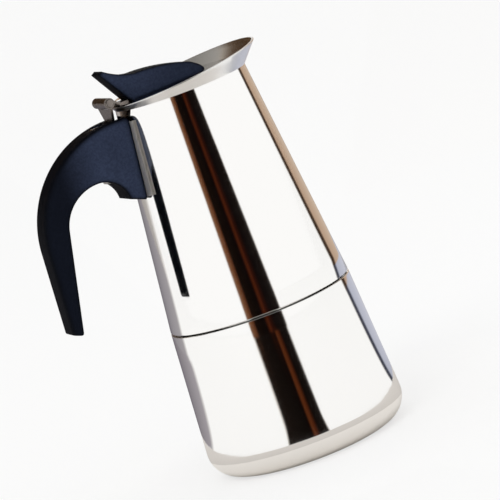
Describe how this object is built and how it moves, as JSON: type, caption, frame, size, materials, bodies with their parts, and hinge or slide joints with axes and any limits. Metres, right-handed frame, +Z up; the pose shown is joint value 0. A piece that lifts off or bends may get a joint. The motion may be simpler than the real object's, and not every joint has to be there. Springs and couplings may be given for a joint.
{
  "type": "moka pot",
  "caption": "Stovetop moka pot in polished steel: tapered boiler with safety valve, screw-on collector with flared pouring collar, hinged lid, black handle and lid knob.",
  "frame": {"origin": "middle of the flat base, on the pot's axis", "axes": "+Z up along the pot's axis, +X to the pouring lip, -X to the handle, +Y to the safety valve"},
  "size_m": [0.1379, 0.1057, 0.1995],
  "materials": {
    "polished_steel": "mirror polished stainless steel",
    "black_bakelite": "satin moulded phenolic",
    "brass": "turned, plain",
    "silicone": "matt white silicone",
    "spring_steel": "drawn wire"
  },
  "bodies": {
    "boiler": {"boiler_shell": "polished_steel", "valve_body": "brass", "valve_seal": "silicone", "valve_nut": "brass", "valve_spring": "spring_steel"},
    "plunger": {"valve_plunger": "brass"},
    "funnel": {"funnel_basket": "polished_steel", "funnel_strainer": "polished_steel", "funnel_stem": "polished_steel"},
    "seal": {"gasket": "silicone", "filter_plate": "polished_steel"},
    "collector": {"collector_shell": "polished_steel", "pour_collar": "polished_steel", "thread_ring": "polished_steel", "collector_floor": "polished_steel", "riser_tube": "polished_steel", "riser_cap": "polished_steel", "handle_bracket": "polished_steel", "handle": "black_bakelite", "handle_screw": "polished_steel", "hinge_bracket": "polished_steel", "hinge_pin": "polished_steel"},
    "lid": {"lid_plate": "polished_steel", "lid_hinge_leaf": "polished_steel", "lid_grip": "black_bakelite", "lid_grip_screws": "polished_steel"}
  },
  "joints": [
    {"name": "funnel_lift", "type": "slide", "parent": "boiler", "child": "funnel", "axis": [0, 0, 1], "range_m": [0, 0.085]},
    {"name": "seal_rise", "type": "slide", "parent": "funnel", "child": "seal", "axis": [0, 0, 1], "range_m": [0, 0.0085]},
    {"name": "collector_unscrew", "type": "hinge", "parent": "seal", "child": "collector", "pos_m": [0, 0, 0.088], "axis": [0, 0, 1], "range_deg": [0, 720]},
    {"name": "lid_hinge", "type": "hinge", "parent": "collector", "child": "lid", "pos_m": [-0.0368, 0, 0.185], "axis": [0, -1, 0], "range_deg": [0, 115]},
    {"name": "valve_plunger", "type": "slide", "parent": "boiler", "child": "plunger", "axis": [0, 1, 0], "range_m": [0, 0.002], "stiffness_N_per_m": 400, "springref_m": -0.004, "deforming": ["valve_spring"]}
  ],
  "couplings": [
    {"joint": "seal_rise", "follows": "collector_unscrew", "m_per_rad": 0.00063662}
  ]
}
